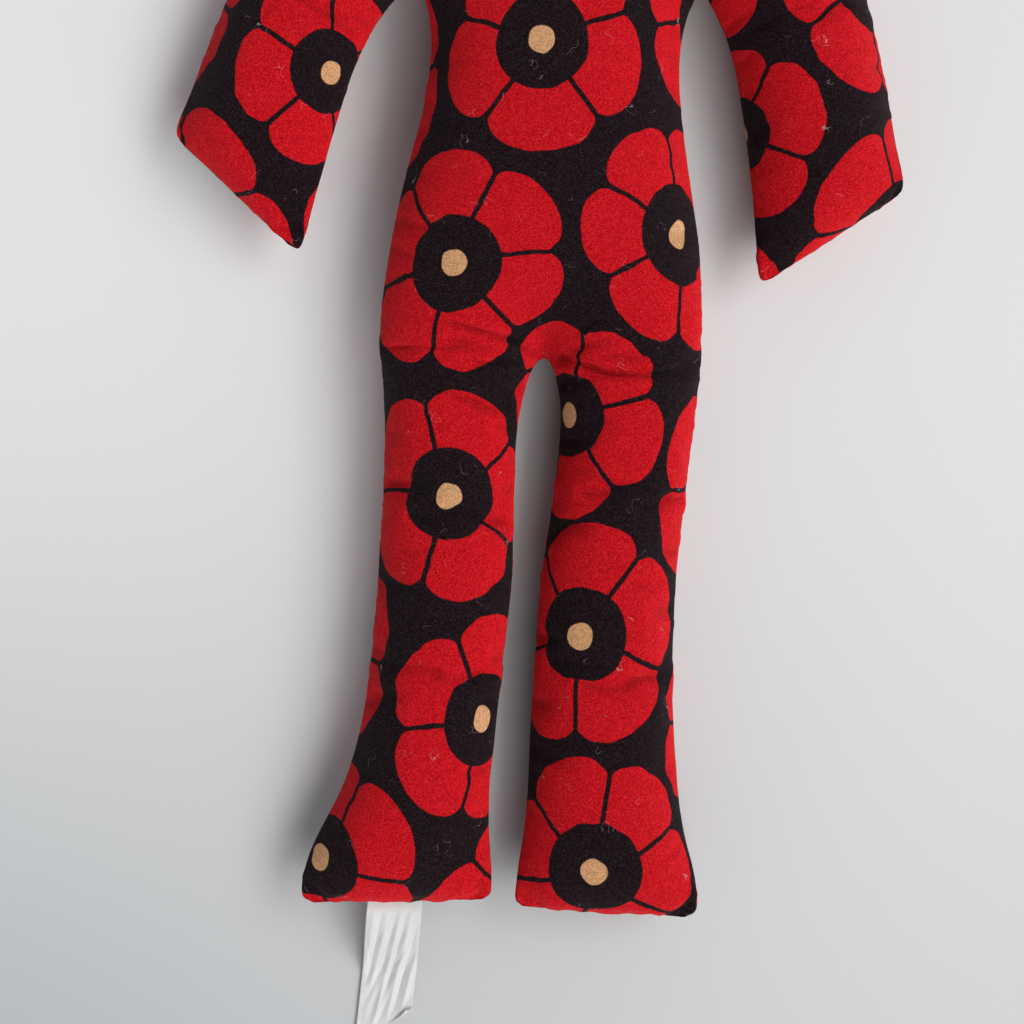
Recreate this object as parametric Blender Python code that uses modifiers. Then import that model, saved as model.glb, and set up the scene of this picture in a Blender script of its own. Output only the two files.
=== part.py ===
"""A stuffed cloth doll for squeezing, lying on its back on a level surface.

Two printed cotton panels are sewn together along one seam that runs right round the doll, turned
right side out and packed with fibre. A satin care label is caught in the seam of one foot.
Sizes are in metres. +Y runs from the soles to the crown, +Z away from the surface, and the origin
is on the flattened middle of the back, half way up the doll.
"""

import math

import bmesh
import bpy
import numpy as np
from mathutils import Vector

# Heights, measured along Y from the soles
DOLL_HEIGHT = 0.305
CROTCH_HEIGHT = 0.1215
HIP_HEIGHT = 0.1330
BELLY_HEIGHT = 0.1460
WAIST_HEIGHT = 0.1650
RIB_HEIGHT = 0.1885
ARMPIT_HEIGHT = 0.2015
SHOULDER_HEIGHT = 0.2420
NECK_HEIGHT = 0.2500
JAW_HEIGHT = 0.2590
TEMPLE_HEIGHT = 0.2760
BROW_HEIGHT = 0.2920
ANKLE_HEIGHT = 0.0340
INSTEP_HEIGHT = 0.0190
SOLE_ROUND = 0.0065
CROWN_ROUND = 0.0062
NECK_DIP = 0.0050

# Widths between the seams
HIP_WIDTH = 0.0710
BELLY_WIDTH = 0.0684
WAIST_WIDTH = 0.0606
RIB_WIDTH = 0.0506
CHEST_WIDTH = 0.0626
SHOULDER_WIDTH = 0.0560
NECK_WIDTH = 0.0300
HEAD_WIDTH = 0.0530
LEG_WIDTH = 0.0301
ANKLE_WIDTH = 0.0306
LEFT_FOOT_WIDTH = 0.0446
RIGHT_FOOT_WIDTH = 0.0394
ARM_WIDTH = 0.0318
HAND_WIDTH = 0.0336
GAP_BELOW_CROTCH = 0.0105
GAP_AT_KNEES = 0.0056
GAP_AT_ANKLES = 0.0080
GAP_AT_FEET = 0.0042

# The two sides aren't sewn quite alike: the gap between the legs wanders, one foot flares more and tips down
CROTCH_ASIDE = 0.0011
THIGH_LENGTH = 0.0450
FEET_ASIDE = -0.0019
SHIN_TOP_DROP = 0.0400
SHIN_LENGTH = 0.0500
LEFT_FLARE = 0.46
RIGHT_FLARE = 0.26
LEFT_SOLE_TIP = 0.0016
RIGHT_SOLE_TIP = 0.0003

# Places down a leg, measured from the crotch
CLEFT_DROP = 0.0115
THIGH_DROP = 0.0290
KNEE_DROP = 0.0490
CALF_DROP = 0.0690

# What the control points add to a width or take from it, so that the smoothed seam runs where it should
THIGH_LESS = 0.0010
SOLE_LESS = 0.0020
SOLE_MORE = 0.0004
SOLE_END_LESS = 0.0012
SOLE_GAP_MORE = 0.0008
ARM_ROOT_LESS = 0.0065
ELBOW_MORE = 0.0012
HAND_MORE = 0.0014
HAND_END_MORE = 0.0010

# Stuffed half depths, from the seam to the crown of a panel
TORSO_DEPTH = 0.0190
SHOULDER_DEPTH = 0.0150
NECK_DEPTH = 0.0125
HEAD_DEPTH = 0.0190
LEG_DEPTH = 0.0135
FOOT_DEPTH = 0.0120
ARM_DEPTH = 0.0136
HAND_DEPTH = 0.0110

# Heights of the seam above the surface: each stuffed part sinks a little into its own flattened back
TORSO_SEAM = 0.0180
HEAD_SEAM = 0.0178
LEG_SEAM = 0.0125
ARM_SEAM = 0.0128

# Arms: the hand's middle, the way the arm leaves the shoulder and hangs, and the slant of its end
HAND_REACH = 0.0652
HAND_HEIGHT = 0.1530
SHOULDER_SLOPE = math.radians(24)
ARM_HANG = math.radians(12)
HAND_SLANT = math.radians(25)
LEFT_ARM_LIFT = math.radians(2.7)
RIGHT_ARM_LIFT = math.radians(-1.8)
SHOULDER_PULL = 0.0262
HAND_PULL = 0.0390
ARMPIT_ARCH = 0.0040
WRIST = 0.6

# Cloth, seam and stuffing
CLOTH = 0.0004
SEAM_GAP = 0.0003
LABEL_GAP = 0.0008
SEAM_ALLOWANCE = 0.0040
STUFFING_GAP = 0.0006
STUFFING_SIDE = 0.0034

# Care label
LABEL_WIDTH = 0.0121
LABEL_LENGTH = 0.0377
LABEL_END_SLANT = math.radians(27.6)
LABEL_THICKNESS = 0.0002
LABEL_TUCK = 0.0038
LABEL_ASIDE = -0.0256
LABEL_LEAN = math.radians(3)
LABEL_PLEAT = 0.0005
LABEL_PLEATS = 2
LABEL_PLEAT_DRIFT = 0.3
LABEL_REST = 0.0006
LABEL_LOWEST = 0.0004
LABEL_STIFF = 0.0008
LABEL_LOOSE = 0.0080
LABEL_FALL = 0.0210
LABEL_FALL_REACH = 0.88
LABEL_EAR = 0.0026
LABEL_EAR_SLANT = math.radians(42.4)
LABEL_EAR_ROLL = 0.0006
LABEL_COLUMNS = 8
LABEL_ROWS = 13
EAR_CREASES = 4

# The cage: faces across each section, and how it is shaped where parts join and at corners
LIMB_COLUMNS = 3
TORSO_COLUMNS = 6
HEAD_COLUMNS = 4
ARM_ROOT_IN = 0.82
ARMPIT_HOLLOW = 0.62
CORNER_SPREAD = 1.42

# Clipping of the allowance at corners, as shares of the room there
MITRE_LIMIT = 0.6
ROOM_STEPS = 60
CLIP_SHARE = 0.5
CLIP_SLOPE = 0.7
FILL_SHARE = 0.88
TIGHT_ROOM = 0.0026
ROUNDING_PASSES = 4

PRINT_RED = (0.58, 0.008, 0.018, 1)
FIBRE_WHITE = (0.82, 0.81, 0.78, 1)
SATIN_WHITE = (0.86, 0.86, 0.85, 1)


def along(height):
    """The Y of a height above the soles."""
    return height - DOLL_HEIGHT / 2


def mix(a, b, share):
    return a + (b - a) * share


def section(columns):
    """Control points across one stuffed section, seam to seam: (share of half width, share of depth).

    They lie on a half ellipse, lifted so that the smoothed surface reaches the full depth."""
    angles = [math.pi * (i / columns - 0.5) for i in range(columns + 1)]
    heights = [math.cos(a) for a in angles]
    middle = columns // 2
    if columns % 2:
        crown = 23 / 24 * heights[middle]
    else:
        crown = (2 * heights[middle - 1] + 4 * heights[middle]) / 6
    return [(math.sin(a), h / crown) for a, h in zip(angles, heights)]


def point(x, y, depth, seam):
    """A control point: its place on the seam plane, its depth off it, and that plane's height."""
    return {"x": x, "y": y, "depth": depth, "seam": seam}


def level_row(left, right, y, depth, seam, columns):
    """A row of control points straight across a stuffed part from x = left to x = right."""
    middle, half = (left + right) / 2, (right - left) / 2
    return [point(middle + half * x, y, depth * z, seam) for x, z in section(columns)]


def through(wanted, before, after):
    """The control value that makes the smoothed seam pass through wanted."""
    return (6 * wanted - before - after) / 4


def cleft_row(half, y, depth, seam, cleft):
    """A row across the hips: one section at cleft 0, two legs side by side at cleft 1."""
    whole = level_row(-half, half, y, depth, seam, TORSO_COLUMNS)
    left = level_row(-half, 0, y, LEG_DEPTH, seam, LIMB_COLUMNS)
    right = level_row(0, half, y, LEG_DEPTH, seam, LIMB_COLUMNS)
    pair = left + right[1:]
    return [
        point(mix(a["x"], b["x"], cleft), y, mix(a["depth"], b["depth"], cleft), seam)
        for a, b in zip(whole, pair)
    ]


# Up the trunk: height, width, half depth, and two shares: of the seam's rise from leg to torso, of the cleft
TRUNK_STATIONS = [
    (CROTCH_HEIGHT, HIP_WIDTH, LEG_DEPTH, 0.4, 1),
    (HIP_HEIGHT, HIP_WIDTH, TORSO_DEPTH * 0.95, 0.55, 0.45),
    (BELLY_HEIGHT, BELLY_WIDTH, TORSO_DEPTH, 0.9, 0.02),
    (WAIST_HEIGHT, WAIST_WIDTH, TORSO_DEPTH, 1, 0),
    (RIB_HEIGHT, RIB_WIDTH, TORSO_DEPTH, 1, 0),
]

# Down a leg: drop from the crotch, gap between the legs, leg's width, share of the seam's rise to the torso
THIGH_STATIONS = [
    (CLEFT_DROP, GAP_BELOW_CROTCH, LEG_WIDTH - THIGH_LESS, 0.22),
    (THIGH_DROP, mix(GAP_BELOW_CROTCH, GAP_AT_KNEES, 0.45), LEG_WIDTH - THIGH_LESS, 0.08),
    (KNEE_DROP, GAP_AT_KNEES, LEG_WIDTH, 0),
    (CALF_DROP, mix(GAP_AT_KNEES, GAP_AT_ANKLES, 0.2), mix(LEG_WIDTH, ANKLE_WIDTH, 0.4), 0),
]


def torso_rows():
    """Rows from the crotch up to the shoulders. The last four carry the arms on their ends."""
    rows = [
        cleft_row(width / 2, along(height), depth, mix(LEG_SEAM, TORSO_SEAM, rise), cleft)
        for height, width, depth, rise, cleft in TRUNK_STATIONS
    ]
    crotch = rows[0][LIMB_COLUMNS]
    lowest_gap = along(CROTCH_HEIGHT - CLEFT_DROP)
    crotch["y"] = through(crotch["y"], lowest_gap, lowest_gap)
    crotch["x"] = CROTCH_ASIDE

    for step in range(LIMB_COLUMNS + 1):
        share = step / LIMB_COLUMNS
        half = mix(CHEST_WIDTH, SHOULDER_WIDTH, share) / 2
        depth = mix(TORSO_DEPTH, SHOULDER_DEPTH, share)
        row = cleft_row(half, along(mix(ARMPIT_HEIGHT, SHOULDER_HEIGHT, share)), depth, TORSO_SEAM, 0)
        arm_depth = ARM_DEPTH * section(LIMB_COLUMNS)[step][1]
        for end, inner in ((0, 1), (-1, -2)):
            row[inner]["x"] *= ARM_ROOT_IN
            row[inner]["depth"] = mix(arm_depth, row[inner]["depth"], 0.5) if step else depth * ARMPIT_HOLLOW
            row[end]["depth"] = arm_depth
            if step == 0:
                row[end]["y"] += ARMPIT_ARCH
        rows.append(row)

    neck_foot = along(NECK_HEIGHT - NECK_DIP)
    half = NECK_WIDTH / 2
    rows[-1][1:-1] = level_row(-half, half, neck_foot, NECK_DEPTH, HEAD_SEAM, HEAD_COLUMNS)
    return rows


def leg_rows(side):
    """Rows from just below the crotch to the sole, each from -X to +X."""
    flare = LEFT_FLARE if side < 0 else RIGHT_FLARE
    foot = LEFT_FOOT_WIDTH if side < 0 else RIGHT_FOOT_WIDTH
    tip = LEFT_SOLE_TIP if side < 0 else RIGHT_SOLE_TIP
    steps = [
        (CROTCH_HEIGHT - drop, gap, width, LEG_DEPTH, mix(LEG_SEAM, TORSO_SEAM, rise))
        for drop, gap, width, rise in THIGH_STATIONS
    ]
    steps += [
        (ANKLE_HEIGHT, GAP_AT_ANKLES, mix(ANKLE_WIDTH, foot, flare * 0.12), LEG_DEPTH, LEG_SEAM),
        (INSTEP_HEIGHT, GAP_AT_ANKLES, mix(ANKLE_WIDTH, foot, flare), LEG_DEPTH, LEG_SEAM),
        (SOLE_ROUND * 1.7, mix(GAP_AT_ANKLES, GAP_AT_FEET, 0.6), foot - SOLE_LESS, FOOT_DEPTH, LEG_SEAM),
        (SOLE_ROUND * 0.5, GAP_AT_FEET, foot + SOLE_MORE, FOOT_DEPTH * 0.72, LEG_SEAM),
        (0, GAP_AT_FEET + SOLE_GAP_MORE, foot - SOLE_END_LESS, 0, LEG_SEAM),
    ]
    rows = []
    for height, gap, width, depth, seam in steps:
        drop = CROTCH_HEIGHT - height
        low = min(1, max(0, (drop - SHIN_TOP_DROP) / SHIN_LENGTH))
        aside = mix(CROTCH_ASIDE, 0, min(1, drop / THIGH_LENGTH)) + FEET_ASIDE * low
        inner = side * gap / 2 + aside
        outer = side * (gap / 2 + width) + aside * (1 - low)
        row = level_row(*sorted((inner, outer)), along(height), depth, seam, LIMB_COLUMNS)
        tipped = tip * max(0, 1 - height / INSTEP_HEIGHT)
        middle = (inner + outer) / 2
        for control in row:
            control["y"] -= tipped * side * (control["x"] - middle) / (width / 2)
        if depth == 0:
            for control in row[1:-1]:
                control["x"] = middle + (control["x"] - middle) * CORNER_SPREAD
        rows.append(row)
    return rows


def bezier(points, t):
    """The place and the direction at t on a cubic curve."""
    a, b, c, d = points
    place = a * (1 - t) ** 3 + b * 3 * t * (1 - t) ** 2 + c * 3 * t * t * (1 - t) + d * t ** 3
    slope = (b - a) * (1 - t) ** 2 + (c - b) * 2 * t * (1 - t) + (d - c) * t * t
    return place, slope.normalized()


def turned(vector, about, angle):
    """A flat vector turned about a point."""
    x, y = vector.x - about.x, vector.y - about.y
    c, s = math.cos(angle), math.sin(angle)
    return Vector((about.x + x * c - y * s, about.y + x * s + y * c))


def arm_rows(side):
    """Rows from beyond the shoulder to the end of the hand, each from the armpit's side to the shoulder's."""
    root = Vector((CHEST_WIDTH / 2, along((ARMPIT_HEIGHT + SHOULDER_HEIGHT) / 2)))
    hand = Vector((HAND_REACH, along(HAND_HEIGHT)))
    leaving = Vector((math.cos(SHOULDER_SLOPE), -math.sin(SHOULDER_SLOPE)))
    hanging = Vector((math.sin(ARM_HANG), -math.cos(ARM_HANG)))
    line = (root, root + leaving * SHOULDER_PULL, hand - hanging * HAND_PULL, hand)
    lift = LEFT_ARM_LIFT if side < 0 else RIGHT_ARM_LIFT
    # Along the arm: share of its line, width, half depth, share of the seam's drop, share of the lift
    stations = [
        (0.20, SHOULDER_HEIGHT - ARMPIT_HEIGHT - ARM_ROOT_LESS, ARM_DEPTH, 0.15, 0.25),
        (0.40, ARM_WIDTH + ELBOW_MORE, ARM_DEPTH, 0.55, 0.6),
        (0.60, ARM_WIDTH, ARM_DEPTH, 0.85, 1),
        (0.79, mix(ARM_WIDTH, HAND_WIDTH, 0.5), ARM_DEPTH, 1, 1),
        (0.92, HAND_WIDTH, HAND_DEPTH, 1, 1),
        (0.975, HAND_WIDTH + HAND_MORE, HAND_DEPTH * 0.62, 1, 1),
        (1.01, HAND_WIDTH + HAND_END_MORE, 0, 1, 1),
    ]
    rows = []
    for t, width, depth, drop, lifted in stations:
        centre, way = bezier(line, t)
        across = Vector((-way.y, way.x))
        slant = math.tan(HAND_SLANT) * max(0, (t - WRIST) / (1 - WRIST))
        seam = mix(TORSO_SEAM, ARM_SEAM, drop)
        row = []
        for share, rise in section(LIMB_COLUMNS):
            reach = (share if depth or abs(share) == 1 else share * CORNER_SPREAD) * width / 2
            place = turned(centre + across * reach - way * reach * slant, root, lift * lifted)
            row.append(point(side * place.x, place.y, depth * rise, seam))
        rows.append(row)
    return rows


def head_rows():
    """Rows from the neck to the crown. The last one is the arc over the top."""
    steps = [
        (NECK_HEIGHT, NECK_WIDTH, NECK_DEPTH),
        (JAW_HEIGHT, HEAD_WIDTH * 0.84, mix(NECK_DEPTH, HEAD_DEPTH, 0.7)),
        (TEMPLE_HEIGHT, HEAD_WIDTH * 1.04, HEAD_DEPTH),
        (BROW_HEIGHT, HEAD_WIDTH * 0.90, HEAD_DEPTH * 0.88),
    ]
    rows = [
        level_row(-width / 2, width / 2, along(height), depth, HEAD_SEAM, HEAD_COLUMNS)
        for height, width, depth in steps
    ]
    half = HEAD_WIDTH * 0.31
    arc = level_row(-half, half, 0, 0, HEAD_SEAM, HEAD_COLUMNS)
    for control in arc:
        control["y"] = along(DOLL_HEIGHT) + CROWN_ROUND * (0.25 - (control["x"] / half) ** 2)
    return rows + [arc]


def join_rows(mesh, rows):
    for lower, upper in zip(rows, rows[1:]):
        for i in range(len(lower) - 1):
            mesh.faces.new((lower[i], lower[i + 1], upper[i + 1], upper[i]))


def cage(face):
    """The coarse surface of one panel: face is 1 for the front and -1 for the back."""
    mesh = bmesh.new()

    def place(row):
        return [
            mesh.verts.new((p["x"], p["y"], p["seam"] + face * (p["depth"] + SEAM_GAP / 2))) for p in row
        ]

    torso = [place(row) for row in torso_rows()]
    join_rows(mesh, torso)
    crotch, shoulder = torso[0], torso[-1]
    join_rows(mesh, [crotch[: LIMB_COLUMNS + 1]] + [place(row) for row in leg_rows(-1)])
    join_rows(mesh, [crotch[LIMB_COLUMNS:]] + [place(row) for row in leg_rows(1)])
    join_rows(mesh, [shoulder[1:-1]] + [place(row) for row in head_rows()])
    arm_roots = torso[-1 - LIMB_COLUMNS:]
    join_rows(mesh, [[row[0] for row in arm_roots]] + [place(row) for row in arm_rows(-1)])
    join_rows(mesh, [[row[-1] for row in arm_roots]] + [place(row) for row in arm_rows(1)])
    bmesh.ops.recalc_face_normals(mesh, faces=mesh.faces)
    turn_towards(mesh, face)
    return mesh


def turn_towards(mesh, face):
    """Turns an open surface so that its faces look up for the front and down for the back."""
    mesh.normal_update()
    if sum(f.normal.z for f in mesh.faces) * face < 0:
        bmesh.ops.reverse_faces(mesh, faces=mesh.faces)
    mesh.normal_update()


def smoothed(mesh):
    """The surface that Subdivision Surface makes of a cage, as a new bmesh."""
    data = bpy.data.meshes.new("cage")
    mesh.to_mesh(data)
    mesh.free()
    guide = bpy.data.objects.new("cage", data)
    bpy.context.scene.collection.objects.link(guide)
    smooth = guide.modifiers.new("smooth", "SUBSURF")
    smooth.levels = smooth.render_levels = 1
    bpy.context.view_layer.update()
    evaluated = guide.evaluated_get(bpy.context.evaluated_depsgraph_get())
    fine_data = bpy.data.meshes.new_from_object(evaluated)
    fine = bmesh.new()
    fine.from_mesh(fine_data)
    bpy.data.objects.remove(guide)
    bpy.data.meshes.remove(data)
    bpy.data.meshes.remove(fine_data)
    return fine


def rest_on(mesh, height):
    """Flattens what would go below a level surface."""
    for vertex in mesh.verts:
        vertex.co.z = max(vertex.co.z, height)


def join_flat(mesh, height):
    """Clears the inside of each patch that lies flat on the level surface, and cuts it across its width."""
    flat = [f for f in mesh.faces if all(v.co.z == height for v in f.verts)]
    joined = bmesh.ops.dissolve_faces(mesh, faces=flat, use_verts=True)["region"]
    bmesh.ops.triangulate(mesh, faces=joined, ngon_method="BEAUTY")


def outline(mesh):
    """The open surface's border as one ordered loop of vertices."""
    border = [e for e in mesh.edges if e.is_boundary]
    beside = {}
    for edge in border:
        for vertex in edge.verts:
            beside.setdefault(vertex, []).append(edge.other_vert(vertex))
    start = border[0].verts[0]
    loop = [start, beside[start][0]]
    while True:
        following = [v for v in beside[loop[-1]] if v is not loop[-2]][0]
        if following is start:
            return loop
        loop.append(following)


def ways_in(flat):
    """The way in from each point of a closed outline, longer at a corner so that both sides move alike."""
    count = len(flat)
    area = sum(flat[i - 1].x * flat[i].y - flat[i].x * flat[i - 1].y for i in range(count))
    turn = 1 if area > 0 else -1
    sides = [(flat[(i + 1) % count] - flat[i]).normalized() for i in range(count)]
    ways = []
    for i in range(count):
        before, after = sides[i - 1], sides[i]
        way = (before + after).normalized()
        inward = Vector((-way.y, way.x)) * turn
        square = Vector((-after.y, after.x)) * turn
        ways.append(inward / max(MITRE_LIMIT, inward.dot(square)))
    return ways


def room_inside(flat, ways):
    """How far each point of the outline can move in before it's as near to another side of the outline."""
    starts = np.array(flat)
    sides = np.roll(starts, -1, axis=0) - starts
    lengths = (sides ** 2).sum(1)
    most = 2 * SEAM_ALLOWANCE
    room = np.full(len(flat), most)
    for i, way in enumerate(ways):
        elsewhere = np.ones(len(flat), bool)
        elsewhere[[i - 1, i]] = False
        for reach in np.linspace(most / ROOM_STEPS, most, ROOM_STEPS):
            place = starts[i] + np.array(way) * reach
            share = np.clip(((place - starts) * sides).sum(1) / lengths, 0, 1)
            distance = np.linalg.norm(starts + sides * share[:, None] - place, axis=1)
            if distance[elsewhere].min() < 0.98 * reach:
                room[i] = reach
                break
    return room


def rings_inside(loop):
    """Two outlines inside the seam: the allowance's cut edge, clipped at corners, and the stuffing's edge.

    The stuffing's edge lies beyond the cut edge, and comes with the share of the full allowance
    that lies outside each of its points."""
    flat = [Vector((v.co.x, v.co.y)) for v in loop]
    count = len(flat)
    ways = ways_in(flat)
    room = room_inside(flat, ways)
    reach = [min(SEAM_ALLOWANCE, CLIP_SHARE * r) for r in room]
    once_round = list(range(count))
    for i in (once_round + once_round[::-1]) * 2:
        for j in (i - 1, (i + 1) % count):
            reach[i] = min(reach[i], reach[j] + CLIP_SLOPE * (flat[i] - flat[j]).length)
    beyond = [
        max(r + STUFFING_GAP / 2, min(r + STUFFING_GAP, FILL_SHARE * whole)) for r, whole in zip(reach, room)
    ]
    cut = [place + way * r for place, way, r in zip(flat, ways, reach)]
    fill = [place + way * r for place, way, r in zip(flat, ways, beyond)]
    for _ in range(ROUNDING_PASSES):
        for i in range(count):
            if room[i] < TIGHT_ROOM:
                fill[i] = (fill[i - 1] + fill[(i + 1) % count]) / 2
    return cut, [(place, min(1, r / SEAM_ALLOWANCE)) for place, r in zip(fill, beyond)]


def part_for_label(mesh, face):
    """Opens the sole's seam a little where the label passes through it."""
    for vertex in outline(mesh):
        if vertex.co.y < along(SOLE_ROUND) and abs(vertex.co.x - LABEL_ASIDE) < LABEL_WIDTH:
            vertex.co.z += face * (LABEL_GAP - SEAM_GAP) / 2


def add_allowance(mesh):
    """Turns the cloth in along the seam, level with it, as the sewn allowance lies inside the doll."""
    loop = outline(mesh)
    inner = []
    for vertex, place in zip(loop, rings_inside(loop)[0]):
        inner.append(mesh.verts.new((place.x, place.y, vertex.co.z)))
    for i in range(len(loop)):
        j = (i + 1) % len(loop)
        mesh.faces.new((loop[i], loop[j], inner[j], inner[i]))


def new_object(name, mesh, material, collection):
    data = bpy.data.meshes.new(name)
    mesh.to_mesh(data)
    mesh.free()
    data.materials.append(material)
    data.shade_smooth()
    data.set_sharp_from_angle(angle=math.radians(50))
    made = bpy.data.objects.new(name, data)
    collection.objects.link(made)
    return made


def thicken(made, thickness, offset):
    """Gives a sheet its thickness: offset is -1 to grow behind its faces, 0 to grow both ways."""
    wall = made.modifiers.new("thickness", "SOLIDIFY")
    wall.thickness = thickness
    wall.offset = offset
    wall.use_even_offset = True
    wall.use_quality_normals = True


def panel(name, face, material, collection):
    """One cloth panel: its stuffed surface, its turned-in allowance and the cloth's thickness."""
    mesh = smoothed(cage(face))
    rest_on(mesh, 0)
    join_flat(mesh, 0)
    part_for_label(mesh, face)
    add_allowance(mesh)
    bmesh.ops.recalc_face_normals(mesh, faces=mesh.faces)
    highest = max(mesh.faces, key=lambda f: f.calc_center_median().z * face)
    if highest.normal.z * face < 0:
        bmesh.ops.reverse_faces(mesh, faces=mesh.faces)
    made = new_object(name, mesh, material, collection)
    thicken(made, CLOTH, -1)


def stuffing(material, collection):
    """The fibre inside both panels. Its narrow side lies along the cut edges of the seam allowances."""
    drop = CLOTH + STUFFING_GAP
    front, back = smoothed(cage(1)), smoothed(cage(-1))
    rest_on(back, 0)
    for mesh in (front, back):
        mesh.normal_update()
        mesh.verts.index_update()
    loop = outline(front)
    order = [v.index for v in loop]
    rim = dict(zip(order, rings_inside(loop)[1]))
    filled = bmesh.new()
    sides = []
    for mesh, face in ((front, 1), (back, -1)):
        made = {}
        for vertex in mesh.verts:
            if vertex.index in rim:
                edge, share = rim[vertex.index]
                level = vertex.co.z + face * (share ** 2 * STUFFING_SIDE - SEAM_GAP) / 2
                made[vertex.index] = filled.verts.new((edge.x, edge.y, level))
                continue
            place = vertex.co - vertex.normal * drop
            place.z = max(place.z, drop)
            made[vertex.index] = filled.verts.new(place)
        for f in mesh.faces:
            filled.faces.new([made[v.index] for v in f.verts])
        sides.append([made[i] for i in order])
    top, bottom = sides
    for i in range(len(order)):
        j = (i + 1) % len(order)
        filled.faces.new((top[i], top[j], bottom[j], bottom[i]))
    front.free()
    back.free()
    bmesh.ops.recalc_face_normals(filled, faces=filled.faces)
    if filled.calc_volume(signed=True) < 0:
        bmesh.ops.reverse_faces(filled, faces=filled.faces)
    new_object("stuffing", filled, material, collection)


def ear_fold():
    """Where the turned corner's fold leaves the label's side, and the way from there to the corner."""
    start = Vector((LABEL_WIDTH / 2, short_side() - LABEL_EAR))
    return start, Vector((math.sin(LABEL_EAR_SLANT), math.cos(LABEL_EAR_SLANT)))


def short_side():
    return LABEL_LENGTH - LABEL_WIDTH * math.tan(LABEL_END_SLANT)


def label_fold(across, down):
    """A place on the flat label, with its lower corner turned over: (across, down, height off the label)."""
    start, out = ear_fold()
    beyond = (Vector((across, down)) - start).dot(out)
    if beyond <= 0:
        return across, down, 0
    bend = math.pi * LABEL_EAR_ROLL
    if beyond < bend:
        angle = beyond / LABEL_EAR_ROLL
        kept, rise = LABEL_EAR_ROLL * math.sin(angle), LABEL_EAR_ROLL * (1 - math.cos(angle))
    else:
        kept, rise = bend - beyond, 2 * LABEL_EAR_ROLL
    shift = kept - beyond
    return across + out.x * shift, down + out.y * shift, rise


def label_fall(down):
    """(outward, height) of the label's middle: level in the seam, then down to the surface and along it."""
    fall = LEG_SEAM - LABEL_REST
    share = min(1, max(0, (down - LABEL_STIFF) / LABEL_FALL))
    height = LABEL_REST + fall * (1 - share * share * (3 - 2 * share))
    return down * mix(1, LABEL_FALL_REACH, share), height


def label_sheet():
    """The flat label as a grid, (across, down): its first row of faces is the part caught in the seam."""
    mesh = bmesh.new()
    grid = []
    for r in range(-1, LABEL_ROWS + 1):
        row = []
        for c in range(LABEL_COLUMNS + 1):
            across = (c / LABEL_COLUMNS - 0.5) * LABEL_WIDTH
            end = LABEL_LENGTH - (across + LABEL_WIDTH / 2) * math.tan(LABEL_END_SLANT)
            down = end * r / LABEL_ROWS if r >= 0 else -LABEL_TUCK
            row.append(mesh.verts.new((across, down, 0)))
        grid.append(row)
    join_rows(mesh, grid)
    start, out = ear_fold()
    for turn in range(EAR_CREASES):
        crease = start + out * (math.pi * LABEL_EAR_ROLL * turn / (EAR_CREASES - 1))
        everything = mesh.verts[:] + mesh.edges[:] + mesh.faces[:]
        bmesh.ops.bisect_plane(
            mesh, geom=everything, plane_co=crease.to_3d(), plane_no=out.to_3d(), dist=1e-5
        )
    return mesh


def care_label(material, collection):
    """A satin strip caught in the seam of the foot, pleated along its length, with one corner turned over."""
    mesh = label_sheet()
    for vertex in mesh.verts:
        across, down, rise = label_fold(vertex.co.x, vertex.co.y)
        outward, height = label_fall(down)
        loose = min(1, max(0, (down - LABEL_STIFF) / LABEL_LOOSE))
        turns = LABEL_PLEATS * across / LABEL_WIDTH + LABEL_PLEAT_DRIFT * down / LABEL_LENGTH
        pleat = math.sin(math.tau * turns) * LABEL_PLEAT / 2 * loose
        lean = math.tan(LABEL_LEAN) * max(0, down)
        level = max(height + pleat, LABEL_LOWEST) + rise
        vertex.co = (LABEL_ASIDE + across - lean, along(0) - outward, level)
    bmesh.ops.recalc_face_normals(mesh, faces=mesh.faces)
    turn_towards(mesh, 1)
    made = new_object("care_label", mesh, material, collection)
    thicken(made, LABEL_THICKNESS, 0)


def plain_material(name, colour, roughness):
    made = bpy.data.materials.new(name)
    made.use_nodes = True
    shader = made.node_tree.nodes["Principled BSDF"]
    shader.inputs["Base Color"].default_value = colour
    shader.inputs["Roughness"].default_value = roughness
    shader.inputs["Metallic"].default_value = 0
    made.diffuse_color = colour
    return made


def main():
    for old in list(bpy.data.objects):
        bpy.data.objects.remove(old)
    collection = bpy.data.collections.new("stuffed_doll")
    bpy.context.scene.collection.children.link(collection)
    cotton = plain_material("printed_cotton", PRINT_RED, 0.85)
    fibre = plain_material("polyester_fibre", FIBRE_WHITE, 0.95)
    satin = plain_material("satin", SATIN_WHITE, 0.45)
    panel("front_panel", 1, cotton, collection)
    panel("back_panel", -1, cotton, collection)
    stuffing(fibre, collection)
    care_label(satin, collection)


main()
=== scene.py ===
"""A stuffed cotton doll in a large flower print, lying on its back on a pale table.

The doll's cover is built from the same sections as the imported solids. It is smoothed, filled by a short
cloth simulation that gives it its folds, then creased and puckered. Sizes are in metres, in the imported
model's frame: +Y towards the head, +Z up.
"""

import math

import bmesh
import bpy
import numpy as np
from mathutils import Matrix, Vector, kdtree, noise


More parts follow.
